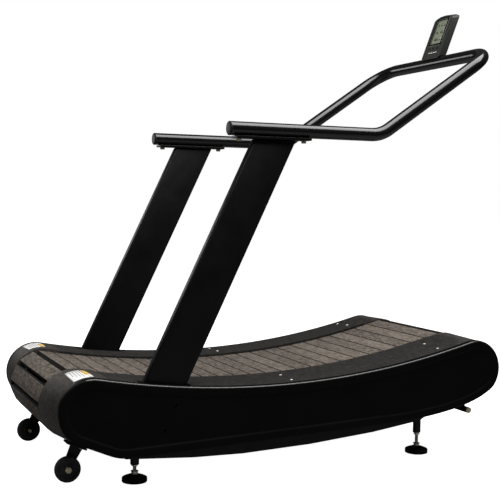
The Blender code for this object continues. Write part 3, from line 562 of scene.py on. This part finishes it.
def slats():
    pitch = belt_length(SLAT_T) / SLAT_COUNT
    half = (pitch - SLAT_SPACE) / 2
    bm = bmesh.new()
    tone = bm.faces.layers.float.new("tone")
    edge = bm.faces.layers.float.new("edge")
    for i in range(SLAT_COUNT):
        point, normal = belt_place(i * pitch, SLAT_T)
        shade_of_slat = DRAWS.random()
        known = set(bm.faces)
        loft(bm, slat_rings(point, normal, half, 0.0, PAD_T, 0.0010, SLAT_HALF))
        for face in set(bm.faces) - known:
            face.normal_update()
            face[tone] = shade_of_slat
            # Side and end faces are marked 'edge', which the grain material paints near-black as painted
            # shade in the gaps.
            face[edge] = 1.0 if abs(face.normal.dot(normal)) < 0.6 else 0.0
        base = (PAD_T, SLAT_T - PAD_T, 0.0005, SLAT_HALF - 0.002)
        loft(bm, slat_rings(point, normal, half + 0.0010, *base), material=1)
    piece("belt_slats", bm, [SLAT_TOP, SLAT_BASE], stands_for=["slat_belt"], sharp=50)


def carriers():
    """Two toothed belts inside the slats."""
    length = belt_length(SLAT_T)
    tooth = 420
    bm = bmesh.new()
    for _, side in SIDES:
        rings = []
        for i in range(tooth):
            place, normal = belt_place(length * i / tooth, SLAT_T)
            depth = SLAT_T + CARRIER_T - (0.0022 if i % 2 else 0)
            outer = place - normal * (SLAT_T - 0.0005)
            inner = place - normal * depth
            y0, y1 = (side * y for y in CARRIER_Y)
            rings.append([outer + Vector((0, y0, 0)), outer + Vector((0, y1, 0)),
                          inner + Vector((0, y1, 0)), inner + Vector((0, y0, 0))])
        rings.append(rings[0])
        loft(bm, rings, caps=(False, False))
    bmesh.ops.remove_doubles(bm, verts=bm.verts, dist=0.00002)
    piece("belt_carriers", bm, SLAT_BASE)


# ---- side panels ---------------------------------------------------------------------
def panel_outline():
    """The side panel's edge, anticlockwise from the rear end of its flat bottom."""
    rear = under_deck(*PANEL_REAR, 0, RIM_CENTRE)
    nose = under_deck(*PANEL_NOSE, 0, RIM_CENTRE)
    rear_top = deck_angle(*PANEL_REAR, 0, RIM_CENTRE)
    nose_top = deck_angle(*PANEL_NOSE, 0, RIM_CENTRE)
    heel = arc(rear, PANEL_REAR[1], rear_top + QUARTER, COVER_TAIL, 44)
    corner_x = 0.190
    corner = Vector((corner_x, heel[-1][1] + (corner_x - heel[-1][0]) * math.tan(TAIL_SLOPE)))
    flat_end = Vector(PANEL_FLAT)
    nose_arc = arc(nose, PANEL_NOSE[1], math.radians(-38), nose_top + QUARTER, 40)
    chin_end = Vector(nose_arc[0])
    pull = Vector(PANEL_PULL)
    before = Vector(heel[-1]).lerp(corner, 0.75)
    after = corner.lerp(flat_end, 0.03)
    points = []
    for i in range(8):
        t = i / 8
        points.append(tuple(before * (1 - t) ** 2 + corner * 2 * t * (1 - t) + after * t**2))
    points += [tuple(after.lerp(flat_end, i / 20)) for i in range(20)]
    for i in range(24):
        t = i / 24
        points.append(tuple(flat_end * (1 - t) ** 2 + pull * 2 * t * (1 - t) + chin_end * t**2))
    points += nose_arc
    angles = (nose_top - QUARTER, rear_top - QUARTER)
    points += arc(RIM_CENTRE, DECK_R, *angles, 70)[1:-1]
    return points + heel


def fillet(inset0, out0, inset1, out1, count=5):
    """Steps of a quarter round between two (inset, height) ends."""
    steps = []
    for i in range(count + 1):
        a = QUARTER * i / count
        u, v = 1 - math.cos(a), math.sin(a)
        steps.append((inset0 + (inset1 - inset0) * u, out0 + (out1 - out0) * v))
    return steps


def side_panels():
    """Moulded panels: a raised, rounded rim round a sunk face."""
    shape = panel_outline()
    sunk = PANEL_OUT - PANEL_STEP
    lip = 0.0080
    flat = PANEL_RIM - 0.004
    steps = [(0.004, PANEL_IN), (0.0, PANEL_IN), (0.0, PANEL_OUT - lip)]
    steps += fillet(0.0, PANEL_OUT - lip, lip, PANEL_OUT)[1:]
    steps += [(flat - 0.0015, PANEL_OUT), (flat, PANEL_OUT - 0.0008)]
    steps += [(PANEL_RIM - 0.001, sunk + 0.0012)]
    steps += [(PANEL_RIM + 0.0015, sunk + 0.0001), (PANEL_RIM + 0.004, sunk)]
    for name, side in SIDES:
        bm = bmesh.new()
        edge = bm.faces.layers.float.new("edge")
        rings = [[(x, side * y, z) for x, z in inset(shape, d)] for d, y in steps]
        loft(bm, rings, caps=(False, True))
        back = [(x, z) for x, z in inset(shape, 0.004)]
        inner = [[(x, side * y, z) for x, z in back] for y in (PANEL_IN, sunk - 0.004)]
        loft(bm, inner, caps=(False, True))
        bmesh.ops.remove_doubles(bm, verts=bm.verts, dist=0.00001)
        # The rim's slanted faces take the lighter rim material, a painted highlight along the rim.
        for face in bm.faces:
            middle = face.calc_center_median()
            slanted = 0.15 < abs(face.normal.y) < 0.97
            below_rim = deck_z(middle.x, 0, RIM_CENTRE) - middle.z
            if slanted and abs(middle.y) > sunk and below_rim < lip + 0.002:
                face[edge] = 1.0
                face.material_index = 1
        panel = piece("side_panel_face_" + name, bm, [PANEL, PANEL_RIM_HIGHLIGHT], stands_for=["side_panel_" + name],
                      sharp=35)
        for number, bolt in enumerate(("post_bolt_upper_", "post_bolt_lower_")):
            low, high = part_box(bolt + name)
            well = bmesh.new()
            x, z = (low.x + high.x) / 2 - X0, (low.z + high.z) / 2
            lathe(well, (x, side * sunk, z), "Y", [(0.006, -0.03), (0.006, 0.03)], 32)
            cut_with(panel, well, f"screw_well_{name}_{number}")


def cut_with(obj, bm, name):
    """Cuts a hole in a piece and keeps only the cut mesh."""
    bmesh.ops.recalc_face_normals(bm, faces=bm.faces)
    mesh = bpy.data.meshes.new(name)
    bm.to_mesh(mesh)
    bm.free()
    cutter = bpy.data.objects.new(name, mesh)
    mesh.transform(Matrix.Translation((X0, 0, 0)))
    bpy.context.scene.collection.objects.link(cutter)
    mod = obj.modifiers.new("Cut", "BOOLEAN")
    mod.operation = "DIFFERENCE"
    mod.object = cutter
    graph = bpy.context.evaluated_depsgraph_get()
    result = bpy.data.meshes.new_from_object(obj.evaluated_get(graph))
    obj.modifiers.remove(mod)
    obj.data = result
    bpy.data.objects.remove(cutter)


# ---- small fixings ----------------------------------------------------------------------
def pan_screw(bm, point, normal, radius=0.0052, material=0):
    """A domed screw with a round recess in its top."""
    turn = Vector((0, 0, 1)).rotation_difference(normal).to_matrix()
    rise = radius * 0.5
    profile = [(radius, -0.001), (radius, 0.0004), (radius * 0.93, rise * 0.6), (radius * 0.7, rise * 0.95)]
    profile += [(radius * 0.46, rise), (radius * 0.44, rise * 0.3)]
    lathe(bm, point, None, profile, 24, material, turn)


def rail_screws():
    for name, side in SIDES:
        bm = bmesh.new()
        for x in RAIL_SCREW_X:
            for y in RAIL_SCREW_Y:
                point = Vector((x, side * y, rail_z(x, y)))
                slope = math.asin((x - DECK_LOW_X) / DECK_R)
                pan_screw(bm, point, Vector((-math.sin(slope), 0, math.cos(slope))))
        piece("rail_screws_" + name, bm, ZINC)


# ---- cover labels -------------------------------------------------------------------------
def cover_point(y, along):
    """A point on the rear cover's outer surface, measured back from its front edge."""
    share = (y - COVER_IN) / (COVER_OUT - COVER_IN)
    x, radius = [a + (b - a) * share for a, b in zip(COVER_START, COVER_END)]
    centre = under_deck(x, radius, COVER_PROUD)
    start = deck_angle(x, radius, COVER_PROUD)
    flat = (COVER_FRONT_X - x) / math.cos(start)
    if along < flat:
        px = COVER_FRONT_X - along * math.cos(start)
        return Vector((px, y, deck_z(px, COVER_PROUD))), Vector((-math.sin(start), 0, math.cos(start)))
    angle = start + QUARTER + (along - flat) / radius
    radial = Vector((math.cos(angle), 0, math.sin(angle)))
    return Vector((centre[0], y, centre[1])) + radial * radius, radial


def label_patch(bm, side, y_range, reach, lift, material):
    grid = []
    for i in range(13):
        row = []
        for j in range(5):
            y = y_range[0] + (y_range[1] - y_range[0]) * j / 4
            point, normal = cover_point(y, reach[0] + (reach[1] - reach[0]) * i / 12)
            point = point + normal * lift
            row.append(bm.verts.new((point.x, side * point.y, point.z)))
        grid.append(row)
    for a, b in zip(grid, grid[1:]):
        for j in range(4):
            bm.faces.new((a[j], a[j + 1], b[j + 1], b[j])).material_index = material


def cover_labels():
    """A pale label with a plain yellow band and grey bars on each rear cover."""
    for name, side in SIDES:
        bm = bmesh.new()
        label_patch(bm, side, (0.262, 0.378), (0.053, 0.125), 0.0004, 0)
        label_patch(bm, side, (0.268, 0.335), (0.056, 0.078), 0.0007, 1)
        for row in range(4):
            start = 0.084 + row * 0.009
            label_patch(bm, side, (0.272, 0.365 - 0.012 * row), (start, start + 0.003), 0.0007, 2)
        label = piece("cover_label_" + name, bm, [LABEL, LABEL_BAND, LABEL_BAR])
        thick = label.modifiers.new("Film", "SOLIDIFY")
        thick.thickness = 0.0002


# ---- handlebar ----------------------------------------------------------------------------
def handlebar():
    front_x, front_z = GRIP_FRONT
    half = [(GRIP_REAR, -GRIP_Y, GRIP_Z), (GRIP_BEND, -GRIP_Y, GRIP_Z), (front_x, -GRIP_Y, front_z)]
    corners = half + [(x, -y, z) for x, y, z in reversed(half)]
    bm = bmesh.new()
    sweep(bm, bend_path(corners, (0.12, 0.105, 0.105, 0.12), 20), TUBE_R, 48)
    piece("handlebar_tube", bm, GLOSS, stands_for=["handlebar"], sharp=60)
    for name, side in SIDES:
        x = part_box("handlebar_cap_" + name)[0].x - X0
        bm = bmesh.new()
        profile = [(0.016, 0.0), (0.0205, 0.0008), (0.0228, 0.003), (0.0229, 0.0058)]
        lathe(bm, (x, side * GRIP_Y, GRIP_Z), "X", profile, 48)
        node = "handlebar_cap_" + name
        piece("grip_end_cap_" + name, bm, CAP_PLASTIC, stands_for=[node])


# ---- console --------------------------------------------------------------------------------
def on_console(out, across, up):
    """A point given square to the console's face, across it and up it."""
    lean = Vector((math.sin(CONSOLE_TILT), 0, math.cos(CONSOLE_TILT)))
    away = Vector((math.cos(CONSOLE_TILT), 0, -math.sin(CONSOLE_TILT)))
    return Vector((CONSOLE_FOOT[0], across, CONSOLE_FOOT[1])) + away * out + lean * up


def rounded_box(width, height, radius, count=6):
    points = []
    for quarter, (sx, sy) in enumerate(((1, 1), (-1, 1), (-1, -1), (1, -1))):
        centre = (sx * (width / 2 - radius), sy * (height / 2 - radius))
        points += arc(centre, radius, quarter * QUARTER, (quarter + 1) * QUARTER, count)
    return points


def console_details():
    bm = bmesh.new()
    outer = rounded_box(SCREEN[0] + 0.022, SCREEN[1] + 0.020, 0.007)
    inner = rounded_box(SCREEN[0] + 0.002, SCREEN[1] + 0.002, 0.003)
    rings = []
    for points, out in ((outer, 0.0004), (outer, -0.0004), (inset(outer, 0.001), -0.0012),
                        (inset(inner, -0.0008), -0.0012), (inner, -0.0006), (inner, 0.0028)):
        rings.append([on_console(out, u, SCREEN_Z + v) for u, v in points])
    loft(bm, rings, caps=(False, False))
    piece("console_bezel", bm, BEZEL, sharp=50)
    bm = bmesh.new()
    segments = [(-0.018, 0.030, 0.012), (0.0, 0.030, 0.012), (0.018, 0.030, 0.012),
                (-0.014, 0.0, 0.018), (0.014, 0.0, 0.018), (0.0, -0.030, 0.040)]
    for across, up, wide in segments:
        points = rounded_box(wide, 0.013, 0.0015, 3)
        ring = [on_console(0.0029, across + u, SCREEN_Z + up + v) for u, v in points]
        bm.faces.new([bm.verts.new(p) for p in ring])
    marks = piece("display_segments", bm, LCD_MARK)
    film = marks.modifiers.new("Film", "SOLIDIFY")
    film.thickness = 0.00015
    bm = bmesh.new()
    for across, wide in ((-0.026, 0.010), (-0.012, 0.012), (0.004, 0.012), (0.019, 0.010)):
        points = rounded_box(wide, 0.0042, 0.0012, 3)
        ring = [bm.verts.new(on_console(-0.0003, across + u, 0.027 + v)) for u, v in points]
        bm.faces.new(ring)
    print_row = piece("console_print", bm, WHITE_PRINT)
    film = print_row.modifiers.new("Film", "SOLIDIFY")
    film.thickness = 0.0002


def console():
    for node in ("console_front", "console_back"):
        refined(node, CONSOLE, 0.0022, 3)
    refined("battery_cover", CAP_PLASTIC, 0.0005)
    refined("console_bracket", PAINT, 0.0012)
    for i in (1, 2, 3):
        refined(f"console_button_{i}", RUBBER, 0.0010, 3)
    refined("console_screen", LCD, 0.0)
    console_details()


# ---- wheels, feet, bolts and the lift handle ------------------------------------------------
def node_middle(node):
    low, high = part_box(node)
    return (low + high) / 2 - Vector((X0, 0, 0))


def wheels():
    for name, side in SIDES:
        low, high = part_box("wheel_" + name)
        rim = (high.z - low.z) / 2
        half = (high.y - low.y) / 2
        bm = bmesh.new()
        top = [(0.0065, half), (0.0155, half), (0.0172, half - 0.0008), (0.0180, half - 0.0030)]
        top += [(rim - 0.0125, half - 0.0030), (rim - 0.0110, half - 0.0006), (rim - 0.0095, half)]
        top += [(rim - 0.0040, half), (rim - 0.0016, half - 0.0008), (rim - 0.0004, half - 0.0026)]
        top += [(rim, half - 0.0050)]
        tread = [(rim, 0.0022), (rim - 0.0012, 0.0014)]
        profile = top + tread
        profile += [(r, -h) for r, h in reversed(profile)]
        lathe(bm, node_middle("wheel_" + name), "Y", profile + [profile[0]], 72)
        bmesh.ops.remove_doubles(bm, verts=bm.verts, dist=0.00001)
        drop_flat_caps(bm)
        piece("wheel_tyre_" + name, bm, TYRE, "wheel_body_" + name, ["wheel_" + name], 35)
        bm = bmesh.new()
        low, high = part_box("wheel_bolt_" + name)
        middle = node_middle("wheel_bolt_" + name)
        outer = high.y if side > 0 else -low.y
        head = outer - 0.008
        turn = facing(side)
        hex_head(bm, (middle.x, side * head, middle.z), None, 0.0102, 0.008, turn=turn)
        inner = high.y - 0.046 if side > 0 else -low.y - 0.046
        shank = [(0.0058, 0.0), (0.0058, outer - inner - 0.010)]
        lathe(bm, (middle.x, side * inner, middle.z), None, shank, 24, turn=turn)
        piece("wheel_bolt_head_" + name, bm, BRASS, stands_for=["wheel_bolt_" + name])


def drop_flat_caps(bm):
    """Removes the end discs of a ring that closes on itself."""
    caps = [f for f in bm.faces if len(f.verts) > 8]
    bmesh.ops.delete(bm, geom=caps, context="FACES_ONLY")


def threads(bm, x, y, low, high, radius, pitch=0.0018):
    """A stud whose thread shows as close grooves."""
    profile = [(radius - 0.001, low)]
    count = int((high - low - 0.002) / pitch)
    for i in range(count):
        z = low + 0.001 + i * pitch
        profile += [(radius - 0.0007, z), (radius, z + pitch * 0.5)]
    profile += [(radius - 0.001, high)]
    lathe(bm, (x, y, 0), "Z", profile, 24)


def feet():
    for where in ("front", "rear"):
        for name, _ in SIDES:
            tag = f"{where}_{name}"
            pad = node_middle("foot_pad_" + tag)
            low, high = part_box("foot_pad_" + tag)
            rim = (high.x - low.x) / 2
            top = high.z
            bm = bmesh.new()
            profile = [(rim - 0.0030, 0.0), (rim - 0.0010, 0.0006), (rim, 0.0024)]
            profile += [(rim, 0.0128), (rim - 0.0006, 0.0142), (rim - 0.0022, 0.0152)]
            profile += [(0.0340, 0.0170), (0.0250, top - 0.0036), (0.0165, top - 0.0004)]
            profile += [(0.0150, top), (0.0070, top), (0.0066, top - 0.002)]
            lathe(bm, (pad.x, pad.y, 0), "Z", profile, 64)
            piece("foot_rubber_" + tag, bm, RUBBER, f"foot_{tag}", ["foot_pad_" + tag], 40)
            low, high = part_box("foot_stud_" + tag)
            bm = bmesh.new()
            threads(bm, pad.x, pad.y, top - 0.004, high.z, 0.006)
            hex_head(bm, (pad.x, pad.y, top + 0.0003), "Z", 0.011, 0.0085)
            washer = [(0.0118, 0.0), (0.0126, 0.0004), (0.0126, 0.0012), (0.0118, 0.0016)]
            lathe(bm, (pad.x, pad.y, top + 0.0089), "Z", washer, 40)
            piece("foot_thread_" + tag, bm, ZINC, f"foot_{tag}", ["foot_stud_" + tag], 35)
            bm = bmesh.new()
            nut = TOP_NUT[where]
            hex_head(bm, (pad.x, pad.y, SOCKET_LOW[where] - nut - 0.0002), "Z", 0.0112, nut)
            piece("foot_top_nut_" + tag, bm, ZINC, sharp=35)


def bolts():
    for name, side in SIDES:
        turn = facing(side)
        for bolt in ("post_bolt_upper_", "post_bolt_lower_"):
            node = bolt + name
            low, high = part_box(node)
            middle = node_middle(node)
            outer = high.y if side > 0 else -low.y
            inner = low.y if side > 0 else -high.y
            bm = bmesh.new()
            hex_head(bm, (middle.x, side * (outer - 0.006), middle.z), None, 0.0080, 0.006, turn=turn)
            shank = [(0.0049, 0), (0.0049, outer - inner - 0.006)]
            lathe(bm, (middle.x, side * inner, middle.z), None, shank, 20, turn=turn)
            piece(node + "_detail", bm, ZINC, stands_for=[node])
        for which in ("front", "rear"):
            node = f"plate_bolt_{which}_{name}"
            low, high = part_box(node)
            middle = node_middle(node)
            bm = bmesh.new()
            hex_head(bm, (middle.x, middle.y, low.z), "Z", 0.0090, 0.0078)
            shank = [(0.0049, 0), (0.0049, high.z - low.z - 0.0080)]
            lathe(bm, (middle.x, middle.y, low.z + 0.0078), "Z", shank, 20)
            piece(node + "_detail", bm, BRASS, stands_for=[node])


def bracket_screws():
    """A small screw through each wheel bracket's plate."""
    for name, side in SIDES:
        normal = Vector((math.sin(TAIL_SLOPE), 0, -math.cos(TAIL_SLOPE)))
        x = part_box("wheel_bracket_" + name)[1].x - X0 - 0.020
        bm = bmesh.new()
        z_plate = bracket_floor("wheel_bracket_" + name, x)
        pan_screw(bm, Vector((x, side * 0.281, z_plate)), normal, 0.0050)
        piece("bracket_screw_" + name, bm, ZINC)


def bracket_floor(node, x):
    """The height of the plate's lower face at x, from the node's own corners."""
    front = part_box(node)[1].x - 0.004
    corners = [v.co for v in frame["nodes"][node].data.vertices if v.co.x > front]
    low = min(corners, key=lambda c: c.z)
    return low.z + (x + X0 - low.x) * math.tan(TAIL_SLOPE)


def lift_handle():
    refined("lift_handle", PAINT, 0.0008)
    for name, side in SIDES:
        low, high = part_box("lift_handle_cap_" + name)
        middle = node_middle("lift_handle_cap_" + name)
        inner = low.y if side > 0 else -high.y
        turn = facing(side)
        bm = bmesh.new()
        profile = [(0.0105, 0.0), (0.0108, 0.0010), (0.0108, 0.0042)]
        profile += [(0.0098, 0.0056), (0.0060, 0.0060), (0.0052, 0.0050)]
        lathe(bm, (middle.x, side * inner, middle.z), None, profile, 40, turn=turn)
        piece("lift_cap_" + name, bm, BRASS, stands_for=["lift_handle_cap_" + name])


# ---- CAD nodes that keep their shape -------------------------------------------------------------
def carried_over():
    for name, _ in SIDES:
        refined("rear_end_cover_" + name, COVER, 0.0012)
        refined("front_end_cover_" + name, COVER, 0.0012)
        refined("foot_rail_" + name, RAIL, 0.0018, 3)
        refined("post_" + name, PAINT, 0.0)
        refined("post_plate_" + name, PAINT, 0.0015, 3)
        refined("frame_side_" + name, PAINT, 0.0)
        refined("wheel_bracket_" + name, PAINT, 0.0010)
        refined("roller_track_" + name, STEEL, 0.0)
    for where in ("front", "middle", "rear"):
        refined("cross_member_" + where, PAINT, 0.0015)
    for where in ("front", "rear"):
        refined(where + "_drum", RUBBER, 0.0008)
        refined(where + "_axle", STEEL, 0.0006)


# ---- floor, lights and camera ------------------------------------------------------------------------
def stage():
    """A floor that is white to the camera and dark grey to the machine's reflections."""
    bm = bmesh.new()
    bmesh.ops.create_grid(bm, x_segments=1, y_segments=1, size=30)
    mesh = bpy.data.meshes.new("floor")
    bm.to_mesh(mesh)
    bm.free()
    floor = bpy.data.objects.new("floor", mesh)
    bpy.context.scene.collection.objects.link(floor)
    look = Look("pale_floor", 0.9, 0.0, 0.1)
    seen = look.nodes.new("ShaderNodeLightPath").outputs["Is Camera Ray"]
    pale = look.mix(look.noise(3.0), (0.86, 0.86, 0.86), (0.88, 0.88, 0.88))
    look.colour(look.mix(seen, (0.24, 0.24, 0.24), pale))
    look.shader.inputs["Emission Color"].default_value = (1, 1, 1, 1)
    look.links.new(seen, look.shader.inputs["Emission Strength"])
    mesh.materials.append(look.material)


def softbox(name, place, target, size, radiance):
    """A rectangular light of a stated brightness, aimed at a point."""
    light = bpy.data.lights.new(name, "AREA")
    light.shape = "RECTANGLE"
    light.size, light.size_y = size
    light.energy = radiance * math.pi * size[0] * size[1]
    lamp = bpy.data.objects.new(name, light)
    lamp.location = place
    aim = Vector(target) - Vector(place)
    lamp.rotation_euler = aim.to_track_quat("-Z", "Y").to_euler()
    lamp.visible_camera = False
    bpy.context.scene.collection.objects.link(lamp)


def lights():
    """Two softboxes, and a sky that is white to the camera and almost dark as a light."""
    softbox("overhead", (0.1, -0.9, 3.6), (0.1, 0, 0.4), (4.6, 2.4), 6.2)
    softbox("rear_card", (-1.35, 2.98, 1.5), (-0.2, 0, 1.0), (1.2, 0.9), 3.0)
    world = bpy.data.worlds.new("studio")
    bpy.context.scene.world = world
    world.use_nodes = True
    nodes = world.node_tree.nodes
    sky = nodes["Background"]
    sky.inputs["Color"].default_value = (1, 1, 1, 1)
    path = nodes.new("ShaderNodeLightPath")
    level = nodes.new("ShaderNodeMapRange")
    level.inputs["To Min"].default_value = 0.04
    level.inputs["To Max"].default_value = 1.0
    world.node_tree.links.new(path.outputs["Is Camera Ray"], level.inputs["Value"])
    world.node_tree.links.new(level.outputs["Result"], sky.inputs["Strength"])
    bpy.context.scene.view_settings.view_transform = "Standard"


def camera():
    """The camera at the photograph's place, turned to face the machine."""
    scale = 1.02
    place = Vector((-0.687 * scale + X0, -3.263 * scale, 0.879 * scale))
    yaw, pitch, roll = (math.radians(a) for a in (24.14, 2.94, 0.91))
    ahead = Vector((math.sin(yaw) * math.cos(pitch), math.cos(yaw) * math.cos(pitch), -math.sin(pitch)))
    level = Vector((math.cos(yaw), -math.sin(yaw), 0))
    up = level.cross(ahead)
    right = level * math.cos(roll) + up * math.sin(roll)
    top = up * math.cos(roll) - level * math.sin(roll)
    data = bpy.data.cameras.new("camera")
    data.sensor_width = 36.0
    data.lens = 1015.7 / 500 * data.sensor_width
    cam = bpy.data.objects.new("camera", data)
    turn = Matrix((right, top, -ahead)).transposed().to_4x4()
    cam.matrix_world = Matrix.Translation(place) @ turn
    bpy.context.scene.collection.objects.link(cam)
    bpy.context.scene.camera = cam


camera()
lights()
stage()
slats()
carriers()
side_panels()
carried_over()
rail_screws()
cover_labels()
handlebar()
console()
wheels()
feet()
bolts()
bracket_screws()
lift_handle()
